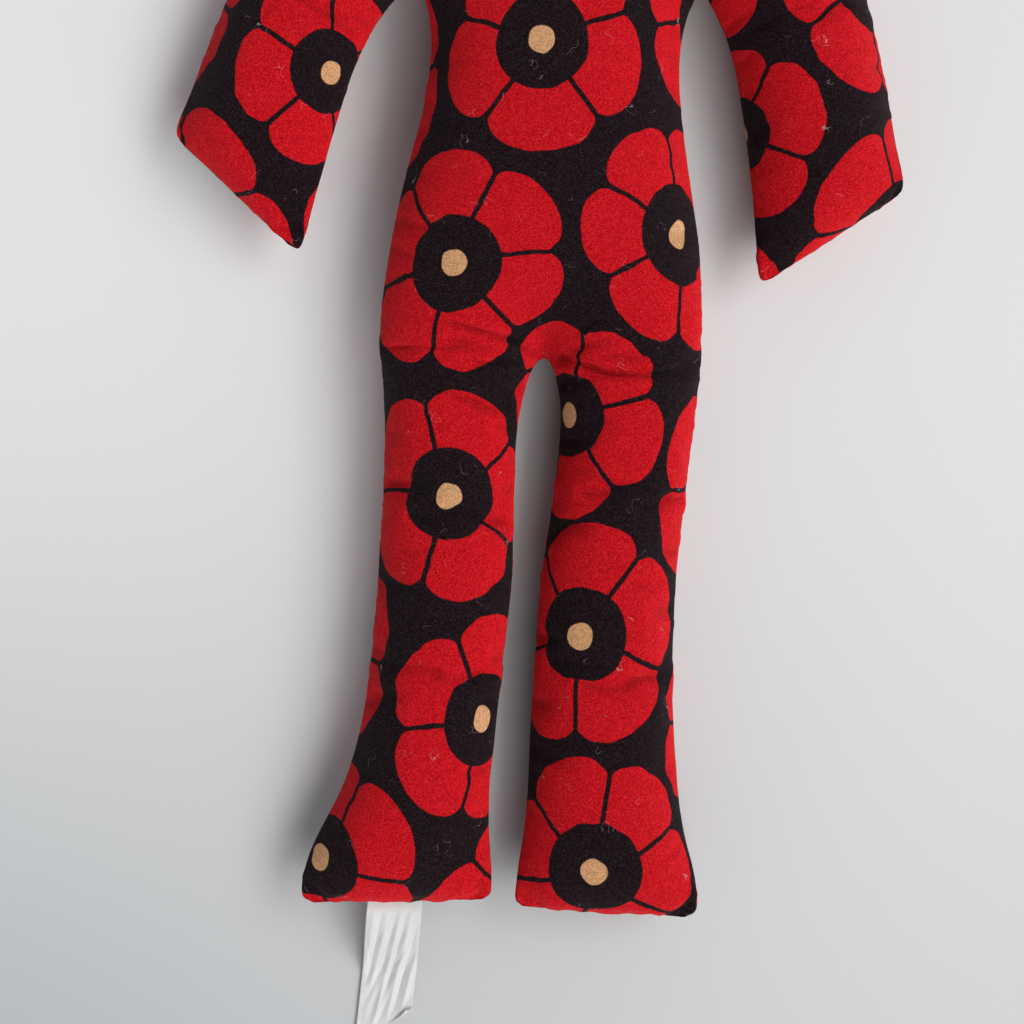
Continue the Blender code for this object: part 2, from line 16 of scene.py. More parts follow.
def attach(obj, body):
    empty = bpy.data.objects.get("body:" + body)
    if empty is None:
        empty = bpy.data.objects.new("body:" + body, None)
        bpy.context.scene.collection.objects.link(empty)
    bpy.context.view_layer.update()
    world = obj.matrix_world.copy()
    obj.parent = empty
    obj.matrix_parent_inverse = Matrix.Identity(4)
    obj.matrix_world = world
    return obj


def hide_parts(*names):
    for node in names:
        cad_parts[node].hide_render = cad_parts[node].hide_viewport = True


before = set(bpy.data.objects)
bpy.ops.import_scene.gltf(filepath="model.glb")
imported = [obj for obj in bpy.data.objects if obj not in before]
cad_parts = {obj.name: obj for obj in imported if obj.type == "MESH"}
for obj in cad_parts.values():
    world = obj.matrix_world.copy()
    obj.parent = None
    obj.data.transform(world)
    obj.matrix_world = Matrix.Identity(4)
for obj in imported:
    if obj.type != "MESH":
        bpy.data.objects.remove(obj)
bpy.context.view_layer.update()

# Heights, measured along Y from the soles
DOLL_HEIGHT = 0.305
CROTCH_HEIGHT = 0.1215
HIP_HEIGHT = 0.1330
BELLY_HEIGHT = 0.1460
WAIST_HEIGHT = 0.1650
RIB_HEIGHT = 0.1885
ARMPIT_HEIGHT = 0.2015
SHOULDER_HEIGHT = 0.2420
NECK_HEIGHT = 0.2500
JAW_HEIGHT = 0.2590
TEMPLE_HEIGHT = 0.2760
BROW_HEIGHT = 0.2920
ANKLE_HEIGHT = 0.0340
INSTEP_HEIGHT = 0.0190
SOLE_ROUND = 0.0065
CROWN_ROUND = 0.0062
NECK_DIP = 0.0050

# Widths between the seams
HIP_WIDTH = 0.0710
BELLY_WIDTH = 0.0684
WAIST_WIDTH = 0.0606
RIB_WIDTH = 0.0506
CHEST_WIDTH = 0.0626
SHOULDER_WIDTH = 0.0560
NECK_WIDTH = 0.0300
HEAD_WIDTH = 0.0530
LEG_WIDTH = 0.0301
ANKLE_WIDTH = 0.0306
FOOT_WIDTHS = {-1: 0.0446, 1: 0.0394}
ARM_WIDTH = 0.0318
HAND_WIDTH = 0.0336
GAP_BELOW_CROTCH = 0.0105
GAP_AT_KNEES = 0.0056
GAP_AT_ANKLES = 0.0080
GAP_AT_FEET = 0.0042

# The two sides aren't sewn quite alike
CROTCH_ASIDE = 0.0011
THIGH_LENGTH = 0.0450
FEET_ASIDE = -0.0019
SHIN_TOP_DROP = 0.0400
SHIN_LENGTH = 0.0500
FLARES = {-1: 0.46, 1: 0.26}
SOLE_TIPS = {-1: 0.0016, 1: 0.0003}

# Stuffed half depths and the seam's height above the table
TORSO_DEPTH = 0.0190
SHOULDER_DEPTH = 0.0150
NECK_DEPTH = 0.0125
HEAD_DEPTH = 0.0190
LEG_DEPTH = 0.0135
FOOT_DEPTH = 0.0120
ARM_DEPTH = 0.0136
HAND_DEPTH = 0.0110
TORSO_SEAM = 0.0180
HEAD_SEAM = 0.0178
LEG_SEAM = 0.0125
ARM_SEAM = 0.0128

# Arms
HAND_REACH = 0.0652
HAND_HEIGHT = 0.1530
SHOULDER_SLOPE = math.radians(24)
ARM_HANG = math.radians(12)
HAND_SLANT = math.radians(25)
ARM_LIFTS = {-1: math.radians(2.7), 1: math.radians(-1.8)}
SHOULDER_PULL = 0.0262
HAND_PULL = 0.0390
ARMPIT_ARCH = 0.0040
WRIST = 0.6

# The cage
LIMB_COLUMNS = 3
TORSO_COLUMNS = 6
HEAD_COLUMNS = 4
ARM_ROOT_IN = 0.82
ARMPIT_HOLLOW = 0.62
CORNER_SPREAD = 1.42

# Care label
LABEL_WIDTH = 0.0121
LABEL_LENGTH = 0.0377
LABEL_TUCK = 0.0038
LABEL_END_SLANT = math.radians(27.6)
LABEL_ASIDE = -0.0256
LABEL_LEAN = math.radians(3)
LABEL_REST = 0.0006
LABEL_LOWEST = 0.0003
LABEL_STIFF = 0.0008
LABEL_LOOSE = 0.0080
LABEL_FALL = 0.0210
LABEL_FALL_REACH = 0.88
LABEL_EAR = 0.0026
LABEL_EAR_SLANT = math.radians(42.4)
LABEL_EAR_ROLL = 0.0006
LABEL_THICKNESS = 0.00014
LABEL_RAISED = 0.00025
LABEL_RIPPLE = 0.00024
LABEL_COLUMNS = 64
LABEL_ROWS = 150

# The photograph: a level camera over the doll, turned a little
PHOTO_CENTRE = Vector((-0.0043, -0.0652, 0.0140))
PHOTO_WIDTH = 0.2253
PHOTO_TURN = math.atan(0.052)
CAMERA_RISE = 0.45
SENSOR = 36.0

# Light: three soft windows in an arc, each with its turn from +X and its power, and the room
WINDOWS = [(-60, 2.78), (-25, 2.92), (12, 2.80)]
WINDOW_RISE = math.radians(44)
WINDOW_AWAY = 1.8
WINDOW_AIM = Vector((-0.26, 0.14, 0))
WINDOW_SIZE = 0.9
WINDOW_SPREAD = math.radians(100)
WINDOW_COLOUR = (1.0, 0.985, 0.97)
ROOM_OVERHEAD = 0.03
ROOM_LOW = 1.00
ROOM_SEEN = 0.75
ROOM_COLOUR = (0.96, 0.98, 1.0, 1)
TABLE_HALF = 3.0

# How often the cage is subdivided before it is unwrapped, before it is simulated, and in the end
UNWRAP_LEVELS = 2
SIM_LEVELS = 3
COVER_LEVELS = 4

# How the cloth fills out: it is simulated this much larger than life, and only its folds are kept
SIM_SCALE = 20.0
SIM_FRAMES = 24
SIM_PRESSURE = 20.0
CLOTH_EASE = 0.07
FOLD_REACH = 0.0012
FOLD_ROUNDS = 40

# Hollows of the folds get painted shade, a little darker: how wide they are, in rounds of evening, and how
# deep
FOLD_SHADE_ROUNDS = 14
FOLD_SHADE_DEPTH = 0.00045
PAINTED_HOLLOW_SHADE = 0.34

# Gathers by the seam and the seam's groove: lengths along and across the seam in millimetres
PUCKER_PITCH = 2.6
PUCKER_PATCH = 23.0
PUCKER_AWAY = 1.5
PUCKER_REACH = 12
PUCKER_HEIGHT = 0.00042
PUCKER_LEAST = 0.45
PUCKER_FILL = 0.3
PUCKER_FINE = 0.5
GROOVE_DEPTH = 0.00028
GROOVE_HALF = 0.55

# Uneven stuffing, and how the cover settles on the table
LUMP_HEIGHT = 0.00045
LUMPS, SMALL_LUMPS = 55, 120
CREASE_SLOPE = 0.25
COVER_LOWEST = 0.0002
SETTLED_BELOW = 0.0012
SETTLED_OVER = 0.0002
SETTLED_SOFT = 0.00025

# How the pattern lies on the cut panels: its turn, and where each panel was cut from the cloth
PRINT_TURN = math.radians(19)
PRINT_SHIFTS = {1: (0.0100, 0.0310), -1: (0.4000, 0.0130)}


def along(height):
    return height - DOLL_HEIGHT / 2


def mix(a, b, share):
    return a + (b - a) * share


def smooth_step(value):
    value = np.clip(value, 0, 1)
    return value * value * (3 - 2 * value)


def section(columns):
    angles = [math.pi * (i / columns - 0.5) for i in range(columns + 1)]
    heights = [math.cos(a) for a in angles]
    middle = columns // 2
    if columns % 2:
        crown = 23 / 24 * heights[middle]
    else:
        crown = (2 * heights[middle - 1] + 4 * heights[middle]) / 6
    return [(math.sin(a), h / crown) for a, h in zip(angles, heights)]


def point(x, y, depth, seam):
    return {"x": x, "y": y, "depth": depth, "seam": seam}


def level_row(left, right, y, depth, seam, columns):
    middle, half = (left + right) / 2, (right - left) / 2
    return [point(middle + half * x, y, depth * z, seam) for x, z in section(columns)]


def through(wanted, before, after):
    return (6 * wanted - before - after) / 4


def cleft_row(half, y, depth, seam, cleft):
    """A row across the hips: one section at cleft 0, two legs side by side at cleft 1."""
    whole = level_row(-half, half, y, depth, seam, TORSO_COLUMNS)
    left = level_row(-half, 0, y, LEG_DEPTH, seam, LIMB_COLUMNS)
    right = level_row(0, half, y, LEG_DEPTH, seam, LIMB_COLUMNS)
    pair = left + right[1:]
    return [
        point(mix(a["x"], b["x"], cleft), y, mix(a["depth"], b["depth"], cleft), seam)
        for a, b in zip(whole, pair)
    ]


TRUNK_STATIONS = [
    (CROTCH_HEIGHT, HIP_WIDTH, LEG_DEPTH, 0.4, 1),
    (HIP_HEIGHT, HIP_WIDTH, TORSO_DEPTH * 0.95, 0.55, 0.45),
    (BELLY_HEIGHT, BELLY_WIDTH, TORSO_DEPTH, 0.9, 0.02),
    (WAIST_HEIGHT, WAIST_WIDTH, TORSO_DEPTH, 1, 0),
    (RIB_HEIGHT, RIB_WIDTH, TORSO_DEPTH, 1, 0),
]
THIGH_STATIONS = [
    (0.0115, GAP_BELOW_CROTCH, LEG_WIDTH - 0.0010, 0.22),
    (0.0290, mix(GAP_BELOW_CROTCH, GAP_AT_KNEES, 0.45), LEG_WIDTH - 0.0010, 0.08),
    (0.0490, GAP_AT_KNEES, LEG_WIDTH, 0),
    (0.0690, mix(GAP_AT_KNEES, GAP_AT_ANKLES, 0.2), mix(LEG_WIDTH, ANKLE_WIDTH, 0.4), 0),
]


def torso_rows():
    rows = [
        cleft_row(width / 2, along(height), depth, mix(LEG_SEAM, TORSO_SEAM, rise), cleft)
        for height, width, depth, rise, cleft in TRUNK_STATIONS
    ]
    crotch = rows[0][LIMB_COLUMNS]
    lowest_gap = along(CROTCH_HEIGHT - THIGH_STATIONS[0][0])
    crotch["y"] = through(crotch["y"], lowest_gap, lowest_gap)
    crotch["x"] = CROTCH_ASIDE
    for step in range(LIMB_COLUMNS + 1):
        share = step / LIMB_COLUMNS
        half = mix(CHEST_WIDTH, SHOULDER_WIDTH, share) / 2
        depth = mix(TORSO_DEPTH, SHOULDER_DEPTH, share)
        height = mix(ARMPIT_HEIGHT, SHOULDER_HEIGHT, share)
        row = cleft_row(half, along(height), depth, TORSO_SEAM, 0)
        arm_depth = ARM_DEPTH * section(LIMB_COLUMNS)[step][1]
        for end, inner in ((0, 1), (-1, -2)):
            row[inner]["x"] *= ARM_ROOT_IN
            whole = mix(arm_depth, row[inner]["depth"], 0.5)
            row[inner]["depth"] = whole if step else depth * ARMPIT_HOLLOW
            row[end]["depth"] = arm_depth
            if step == 0:
                row[end]["y"] += ARMPIT_ARCH
        rows.append(row)
    half = NECK_WIDTH / 2
    neck_foot = along(NECK_HEIGHT - NECK_DIP)
    rows[-1][1:-1] = level_row(-half, half, neck_foot, NECK_DEPTH, HEAD_SEAM, HEAD_COLUMNS)
    return rows


def leg_rows(side):
    flare, foot, tip = FLARES[side], FOOT_WIDTHS[side], SOLE_TIPS[side]
    steps = [
        (CROTCH_HEIGHT - drop, gap, width, LEG_DEPTH, mix(LEG_SEAM, TORSO_SEAM, rise))
        for drop, gap, width, rise in THIGH_STATIONS
    ]
    steps += [
        (ANKLE_HEIGHT, GAP_AT_ANKLES, mix(ANKLE_WIDTH, foot, flare * 0.12), LEG_DEPTH, LEG_SEAM),
        (INSTEP_HEIGHT, GAP_AT_ANKLES, mix(ANKLE_WIDTH, foot, flare), LEG_DEPTH, LEG_SEAM),
        (SOLE_ROUND * 1.7, mix(GAP_AT_ANKLES, GAP_AT_FEET, 0.6), foot - 0.0020, FOOT_DEPTH, LEG_SEAM),
        (SOLE_ROUND * 0.5, GAP_AT_FEET, foot + 0.0004, FOOT_DEPTH * 0.72, LEG_SEAM),
        (0, GAP_AT_FEET + 0.0008, foot - 0.0012, 0, LEG_SEAM),
    ]
    rows = []
    for height, gap, width, depth, seam in steps:
        drop = CROTCH_HEIGHT - height
        low = min(1, max(0, (drop - SHIN_TOP_DROP) / SHIN_LENGTH))
        aside = mix(CROTCH_ASIDE, 0, min(1, drop / THIGH_LENGTH)) + FEET_ASIDE * low
        inner = side * gap / 2 + aside
        outer = side * (gap / 2 + width) + aside * (1 - low)
        row = level_row(*sorted((inner, outer)), along(height), depth, seam, LIMB_COLUMNS)
        tipped = tip * max(0, 1 - height / INSTEP_HEIGHT)
        middle = (inner + outer) / 2
        for control in row:
            control["y"] -= tipped * side * (control["x"] - middle) / (width / 2)
        if depth == 0:
            for control in row[1:-1]:
                control["x"] = middle + (control["x"] - middle) * CORNER_SPREAD
        rows.append(row)
    return rows


def arm_rows(side):
    root = Vector((CHEST_WIDTH / 2, along((ARMPIT_HEIGHT + SHOULDER_HEIGHT) / 2)))
    hand = Vector((HAND_REACH, along(HAND_HEIGHT)))
    leaving = Vector((math.cos(SHOULDER_SLOPE), -math.sin(SHOULDER_SLOPE)))
    hanging = Vector((math.sin(ARM_HANG), -math.cos(ARM_HANG)))
    a, b, c, d = root, root + leaving * SHOULDER_PULL, hand - hanging * HAND_PULL, hand
    stations = [
        (0.20, SHOULDER_HEIGHT - ARMPIT_HEIGHT - 0.0065, ARM_DEPTH, 0.15, 0.25),
        (0.40, ARM_WIDTH + 0.0012, ARM_DEPTH, 0.55, 0.6),
        (0.60, ARM_WIDTH, ARM_DEPTH, 0.85, 1),
        (0.79, mix(ARM_WIDTH, HAND_WIDTH, 0.5), ARM_DEPTH, 1, 1),
        (0.92, HAND_WIDTH, HAND_DEPTH, 1, 1),
        (0.975, HAND_WIDTH + 0.0014, HAND_DEPTH * 0.62, 1, 1),
        (1.01, HAND_WIDTH + 0.0010, 0, 1, 1),
    ]
    rows = []
    for t, width, depth, drop, lifted in stations:
        centre = a * (1 - t) ** 3 + b * 3 * t * (1 - t) ** 2 + c * 3 * t * t * (1 - t) + d * t ** 3
        way = ((b - a) * (1 - t) ** 2 + (c - b) * 2 * t * (1 - t) + (d - c) * t * t).normalized()
        across = Vector((-way.y, way.x))
        slant = math.tan(HAND_SLANT) * max(0, (t - WRIST) / (1 - WRIST))
        seam = mix(TORSO_SEAM, ARM_SEAM, drop)
        lift = Matrix.Rotation(ARM_LIFTS[side] * lifted, 2)
        row = []
        for share, rise in section(LIMB_COLUMNS):
            reach = (share if depth or abs(share) == 1 else share * CORNER_SPREAD) * width / 2
            place = root + lift @ (centre + across * reach - way * reach * slant - root)
            row.append(point(side * place.x, place.y, depth * rise, seam))
        rows.append(row)
    return rows


def head_rows():
    steps = [
        (NECK_HEIGHT, NECK_WIDTH, NECK_DEPTH),
        (JAW_HEIGHT, HEAD_WIDTH * 0.84, mix(NECK_DEPTH, HEAD_DEPTH, 0.7)),
        (TEMPLE_HEIGHT, HEAD_WIDTH * 1.04, HEAD_DEPTH),
        (BROW_HEIGHT, HEAD_WIDTH * 0.90, HEAD_DEPTH * 0.88),
    ]
    rows = [
        level_row(-width / 2, width / 2, along(height), depth, HEAD_SEAM, HEAD_COLUMNS)
        for height, width, depth in steps
    ]
    half = HEAD_WIDTH * 0.31
    arc = level_row(-half, half, 0, 0, HEAD_SEAM, HEAD_COLUMNS)
    for control in arc:
        control["y"] = along(DOLL_HEIGHT) + CROWN_ROUND * (0.25 - (control["x"] / half) ** 2)
    return rows + [arc]


def join_rows(mesh, rows):
    for lower, upper in zip(rows, rows[1:]):
        for i in range(len(lower) - 1):
            mesh.faces.new((lower[i], lower[i + 1], upper[i + 1], upper[i]))


def add_panel(mesh, face):
    """Adds the coarse surface of one panel: face is 1 for the front and -1 for the back."""

    def place(row):
        return [mesh.verts.new((p["x"], p["y"], p["seam"] + face * p["depth"])) for p in row]

    torso = [place(row) for row in torso_rows()]
    join_rows(mesh, torso)
    crotch, shoulder = torso[0], torso[-1]
    join_rows(mesh, [crotch[: LIMB_COLUMNS + 1]] + [place(row) for row in leg_rows(-1)])
    join_rows(mesh, [crotch[LIMB_COLUMNS:]] + [place(row) for row in leg_rows(1)])
    join_rows(mesh, [shoulder[1:-1]] + [place(row) for row in head_rows()])
    roots = torso[-1 - LIMB_COLUMNS:]
    join_rows(mesh, [[row[0] for row in roots]] + [place(row) for row in arm_rows(-1)])
    join_rows(mesh, [[row[-1] for row in roots]] + [place(row) for row in arm_rows(1)])


def link(name, data):
    made = bpy.data.objects.new(name, data)
    bpy.context.scene.collection.objects.link(made)
    return made


def coarse_panel(name, face):
    """The coarse cage of one panel, an open surface bordered by the seam."""
    mesh = bmesh.new()
    add_panel(mesh, face)
    bmesh.ops.recalc_face_normals(mesh, faces=mesh.faces)
    mesh.normal_update()
    if sum(f.normal.z for f in mesh.faces) * face < 0:
        bmesh.ops.reverse_faces(mesh, faces=mesh.faces)
    data = bpy.data.meshes.new(name)
    mesh.to_mesh(data)
    mesh.free()
    return link(name, data)


def take_evaluated(made):
    """Replaces the object's mesh by what its modifiers make of it, and clears them."""
    evaluated = made.evaluated_get(bpy.context.evaluated_depsgraph_get())
    fine = bpy.data.meshes.new_from_object(evaluated)
    made.modifiers.clear()
    made.data = fine


def bake(made, levels):
    """Replaces the object's mesh by its subdivision."""
    smooth = made.modifiers.new("smooth", "SUBSURF")
    smooth.levels = smooth.render_levels = levels
    bpy.context.view_layer.update()
    take_evaluated(made)


def unwrap(made, face):
    """Lays the panel flat with little stretch, in metres, the way it was cut from the cloth."""
    bpy.context.view_layer.objects.active = made
    made.select_set(True)
    made.data.uv_layers.new(name="cut")
    bpy.ops.object.mode_set(mode="EDIT")
    bpy.ops.mesh.select_all(action="SELECT")
    bpy.ops.uv.unwrap(method="MINIMUM_STRETCH", margin=0.0)
    bpy.ops.object.mode_set(mode="OBJECT")
    made.select_set(False)
    data = made.data
    co = points_of(made)
    uv = np.zeros(len(data.loops) * 2, np.float32)
    data.uv_layers[0].data.foreach_get("uv", uv)
    corner = np.zeros(len(data.loops), np.int32)
    data.loops.foreach_get("vertex_index", corner)
    w = uv.reshape(-1, 2).astype(float) @ (1, 1j)
    flat = 0
    for f in data.polygons:
        ring = w[list(f.loop_indices)]
        flat += abs(np.sum((ring.conj() * np.roll(ring, -1)).imag)) / 2
    solid = sum(f.area for f in data.polygons)
    place = co[corner, 0] * face + 1j * co[corner, 1]
    w, place = w - w.mean(), place - place.mean()
    turn = np.vdot(w, place)
    w *= turn / abs(turn) * math.sqrt(solid / flat)
    w = w * complex(math.cos(PRINT_TURN), math.sin(PRINT_TURN)) + complex(*PRINT_SHIFTS[face])
    data.uv_layers[0].data.foreach_set("uv", np.stack([w.real, w.imag], 1).astype(np.float32).ravel())


def seam_line(made):
    """The panel's border, in order."""
    count = {}
    for f in made.data.polygons:
        for key in f.edge_keys:
            count[key] = count.get(key, 0) + 1
    beside = {}
    for (a, b), n in count.items():
        if n == 1:
            beside.setdefault(a, []).append(b)
            beside.setdefault(b, []).append(a)
    start = min(beside)
    order = [start, beside[start][0]]
    while True:
        following = [v for v in beside[order[-1]] if v != order[-2]][0]
        if following == start:
            break
        order.append(following)
    return order


def points_of(made):
    co = np.zeros(len(made.data.vertices) * 3, np.float32)
    made.data.vertices.foreach_get("co", co)
    return co.reshape(-1, 3).astype(float)


def set_points(made, co):
    made.data.vertices.foreach_set("co", co.astype(np.float32).ravel())
    made.data.update()


def normals_of(made):
    n = np.zeros(len(made.data.vertices) * 3, np.float32)
    made.data.vertices.foreach_get("normal", n)
    return n.reshape(-1, 3).astype(float)


# Creases in the front by the crotch and the armpits, in millimetres: points along each, depth, half width
CREASES = [
    ([(-19.5, -25.6), (-12.5, -27.4), (-4.4, -28.6)], 1.35, 0.85),
    ([(-14.0, -34.6), (-9.0, -33.2), (-4.0, -31.8)], 1.15, 0.80),
    ([(5.0, -31.6), (13.5, -34.4), (23.0, -34.6), (33.5, -32.6)], 1.50, 0.90),
    ([(6.5, -27.0), (11.0, -24.0), (17.0, -22.8)], 0.60, 0.90),
    ([(-29.5, 49.0), (-24.0, 53.5), (-20.5, 60.0)], 1.3, 1.0),
    ([(27.5, 48.5), (22.5, 53.5), (19.5, 60.0)], 1.3, 1.0),
]

# How far a crease has already opened at its first point, and how full it stays along its run
CREASE_OPEN = 0.08
CREASE_FULLNESS = 0.7

# The cloth that rises beside a crease: its share of the depth, and its place and width in half widths
RIDGE_SHARE = 0.45
RIDGE_AWAY = 2.1
RIDGE_HALF = 0.9


def crease_depths(co):
    """How far each point sinks into the creases, and rises beside them, in metres."""
    xy = co[:, :2] * 1000
    total = np.zeros(len(co))
    for line, depth, half in CREASES:
        line = np.array(line)
        lengths = np.linalg.norm(np.diff(line, axis=0), axis=1)
        whole, gone = lengths.sum(), 0
        best = np.full(len(co), 1e9)
        share = np.zeros(len(co))
        for a, b, length in zip(line, line[1:], lengths):
            t = np.clip(((xy - a) @ (b - a)) / length ** 2, 0, 1)
            away = np.linalg.norm(a + t[:, None] * (b - a) - xy, axis=1)
            nearer = away < best
            best[nearer] = away[nearer]
            share[nearer] = (gone + t[nearer] * length) / whole
            gone += length
        fade = np.sin(np.pi * np.clip(mix(CREASE_OPEN, 1, share), 0, 1)) ** CREASE_FULLNESS
        near = best / half
        ridge = RIDGE_SHARE * np.exp(-((near - RIDGE_AWAY) / RIDGE_HALF) ** 2)
        total += depth * fade * (np.exp(-near ** 2) - ridge)
    return total / 1000


def puckers(co, order, side):
    """Small gathers that run in from the seam, and the seam's own groove, as a shift of each point."""
    seam = co[order]
    lengths = np.concatenate([[0], np.cumsum(np.linalg.norm(np.diff(seam, axis=0), axis=1))])
    tree = kdtree.KDTree(len(seam))
    for i, p in enumerate(seam):
        tree.insert(p, i)
    tree.balance()
    away = np.full(len(co), 1.0)
    where = np.zeros(len(co))
    for i, p in enumerate(co):
        _, j, d = tree.find(p)
        away[i], where[i] = d, lengths[j]
    shift = np.zeros(len(co))
    for i in np.nonzero(away < PUCKER_REACH / 1000)[0]:
        d, s = away[i] * 1000, where[i] * 1000
        wave = noise.noise(Vector((s / PUCKER_PITCH, side, 0.0)))
        wave += PUCKER_FINE * noise.noise(Vector((s / (PUCKER_PITCH / 2), side, 5.0)))
        busy = max(0, noise.noise(Vector((s / PUCKER_PATCH, side, 9.0))) + PUCKER_FILL)
        patch = mix(PUCKER_LEAST, 1, busy)
        shift[i] += PUCKER_HEIGHT * wave * patch * (d / PUCKER_AWAY) * math.exp(1 - d / PUCKER_AWAY)
        shift[i] -= GROOVE_DEPTH * math.exp(-((d / GROOVE_HALF) ** 2))
    return shift


def evened(made, values, rounds, held=()):
    """The values at the mesh's points, averaged with their neighbours' again and again; 0 at those held."""
    edges = np.zeros(len(made.data.edges) * 2, np.int32)
    made.data.edges.foreach_get("vertices", edges)
    edges = edges.reshape(-1, 2)
    beside = np.bincount(edges.ravel(), minlength=len(values))
    for _ in range(rounds):
        total = np.zeros_like(values)
        np.add.at(total, edges[:, 0], values[edges[:, 1]])
        np.add.at(total, edges[:, 1], values[edges[:, 0]])
        values = 0.5 * values + 0.5 * total / beside[:, None]
        values[list(held)] = 0
    return values


def stuff(made):
    """Fills the panel like a cushion by cloth simulation, its seam held, and keeps only the folds."""
    start = points_of(made)
    held = made.vertex_groups.new(name="seam")
    border = seam_line(made)
    held.add(border, 1.0, "REPLACE")
    set_points(made, start * SIM_SCALE)
    cloth = made.modifiers.new("stuffing", "CLOTH")
    settings = cloth.settings
    settings.quality = 4
    settings.mass = 0.004
    settings.tension_stiffness = settings.compression_stiffness = 14
    settings.shear_stiffness = 4
    settings.bending_stiffness = 0.15
    settings.tension_damping = settings.compression_damping = settings.shear_damping = 3
    settings.air_damping = 2
    settings.effector_weights.gravity = 0
    settings.vertex_group_mass = "seam"
    settings.use_pressure = True
    settings.uniform_pressure_force = SIM_PRESSURE
    settings.shrink_min = settings.shrink_max = -CLOTH_EASE
    cloth.collision_settings.use_collision = False
    cloth.point_cache.frame_start, cloth.point_cache.frame_end = 1, SIM_FRAMES
    scene = bpy.context.scene
    for step in range(1, SIM_FRAMES + 1):
        scene.frame_set(step)
    take_evaluated(made)
    made.vertex_groups.clear()
    scene.frame_set(1)
    moved = points_of(made) / SIM_SCALE - start
    folds = moved - evened(made, moved, FOLD_ROUNDS, border)
    far = np.linalg.norm(folds, axis=1)
    kept = np.minimum(far, FOLD_REACH) / np.maximum(far, 1e-9)
    set_points(made, start + folds * kept[:, None])


def shape_cover(made, face):
    """Gives the smooth cover its creases, puckers, uneven stuffing and flat rest, and how much painted
    shade its hollows get.
    """
    co, normals = points_of(made), normals_of(made)
    order = seam_line(made)
    elsewhere = Vector((3, 1, 4))
    lumps = np.array([
        noise.noise(Vector(p) * LUMPS) * 0.6 + noise.noise(Vector(p) * SMALL_LUMPS + elsewhere) * 0.3
        for p in co
    ])
    shift = LUMP_HEIGHT * lumps + puckers(co, order, 37.0 * face)
    if face > 0:
        shift -= crease_depths(co) * smooth_step(normals[:, 2] / CREASE_SLOPE)
    co += normals * shift[:, None]
    low = co[:, 2] < SETTLED_BELOW
    over = (co[low, 2] - COVER_LOWEST - SETTLED_OVER) / SETTLED_SOFT
    co[low, 2] = COVER_LOWEST + SETTLED_SOFT * np.log1p(np.exp(over))
    set_points(made, co)
    # Painted shade: how far each point sits below its neighbours is stored, so that the hollows of folds
    # and creases are drawn darker
    sunk = ((evened(made, co, FOLD_SHADE_ROUNDS) - co) * normals_of(made)).sum(1)
    painted_fold_shade = made.data.attributes.new("painted_fold_shade", "FLOAT", "POINT")
    painted_fold_shade.data.foreach_set("value", np.clip(sunk / FOLD_SHADE_DEPTH, 0, 1).astype(np.float32))


# Materials
class Tree:
    """Short hand for building a node tree."""

    def __init__(self, name):
        self.material = bpy.data.materials.new(name)
        self.material.use_nodes = True
        self.nodes = self.material.node_tree.nodes
        self.links = self.material.node_tree.links
        self.shader = self.nodes["Principled BSDF"]

    def put(self, socket, value):
        if isinstance(value, bpy.types.NodeSocket):
            self.links.new(value, socket)
        else:
            socket.default_value = value

    def math(self, operation, a, b=0.0, c=0.0, clamp=False):
        node = self.nodes.new("ShaderNodeMath")
        node.operation, node.use_clamp = operation, clamp
        for socket, value in zip(node.inputs, (a, b, c)):
            self.put(socket, value)
        return node.outputs[0]

    def mix(self, share, a, b):
        node = self.nodes.new("ShaderNodeMix")
        node.data_type = "RGBA"
        self.put(node.inputs["Factor"], share)
        self.put(node.inputs["A"], a)
        self.put(node.inputs["B"], b)
        return node.outputs["Result"]

    def between(self, share, a, b):
        return self.math("MULTIPLY_ADD", share, self.math("SUBTRACT", b, a), a)

    def noise(self, vector, scale, detail=2.0, rough=0.5):
        node = self.nodes.new("ShaderNodeTexNoise")
        self.put(node.inputs["Vector"], vector)
        node.inputs["Scale"].default_value = scale
        node.inputs["Detail"].default_value = detail
        node.inputs["Roughness"].default_value = rough
        return node.outputs["Fac"]

    def fleck(self, u, v, pitch):
        """A random number for each small square of the cloth."""
        node = self.nodes.new("ShaderNodeTexWhiteNoise")
        cells = [self.math("FLOOR", self.math("DIVIDE", value, pitch)) for value in (u, v)]
        self.put(node.inputs["Vector"], self.combine(*cells))
        return node.outputs["Value"]

    def uv(self):
        return self.nodes.new("ShaderNodeTexCoord").outputs["UV"]

    def place(self):
        return self.nodes.new("ShaderNodeTexCoord").outputs["Object"]

    def split(self, vector):
        node = self.nodes.new("ShaderNodeSeparateXYZ")
        self.put(node.inputs[0], vector)
        return node.outputs

    def combine(self, x, y, z=0.0):
        node = self.nodes.new("ShaderNodeCombineXYZ")
        for socket, value in zip(node.inputs, (x, y, z)):
            self.put(socket, value)
        return node.outputs[0]

    def below(self, value, limit, soft):
        """1 where value is under limit, 0 above, over a soft edge."""
        node = self.nodes.new("ShaderNodeMapRange")
        node.interpolation_type = "SMOOTHSTEP"
        self.put(node.inputs["Value"], value)
        self.put(node.inputs["From Min"], self.math("SUBTRACT", limit, soft))
        self.put(node.inputs["From Max"], self.math("ADD", limit, soft))
        node.inputs["To Min"].default_value = 1
        node.inputs["To Max"].default_value = 0
        return node.outputs["Result"]

    def bump(self, height, strength, distance, normal=None):
        node = self.nodes.new("ShaderNodeBump")
        node.inputs["Strength"].default_value = strength
        node.inputs["Distance"].default_value = distance
        self.put(node.inputs["Height"], height)
        if normal is not None:
            self.put(node.inputs["Normal"], normal)
        return node.outputs["Normal"]


